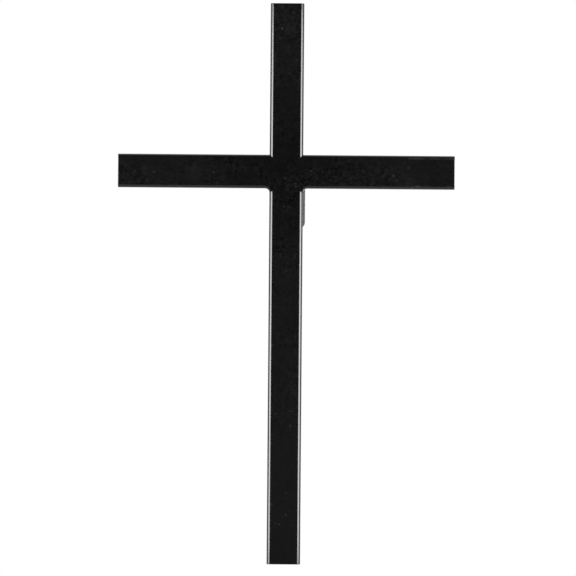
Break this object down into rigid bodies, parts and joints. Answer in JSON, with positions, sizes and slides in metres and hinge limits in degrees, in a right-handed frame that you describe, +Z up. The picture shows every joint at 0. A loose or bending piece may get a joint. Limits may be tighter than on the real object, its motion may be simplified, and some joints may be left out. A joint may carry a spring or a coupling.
{
  "type": "grave cross",
  "caption": "Plain Latin cross of rounded rectangular steel bar, gloss black, hung on a headstone by a small plate welded behind the crossing.",
  "frame": {"origin": "in the back of the fixing plate, on the cross's centre line, halfway between the two tapped holes", "axes": "+Z up the cross, +Y out of the back towards the stone, +X to the right as seen from the front"},
  "size_m": [0.3, 0.02, 0.5],
  "materials": {
    "gloss_black": "smooth gloss black coating, slightly mottled, with fine dust",
    "plate_steel": "dull grey zinc-plated steel"
  },
  "bodies": {
    "root": {"upright": "gloss_black", "left_arm": "gloss_black", "right_arm": "gloss_black", "fixing_plate": "plate_steel"}
  },
  "joints": []
}
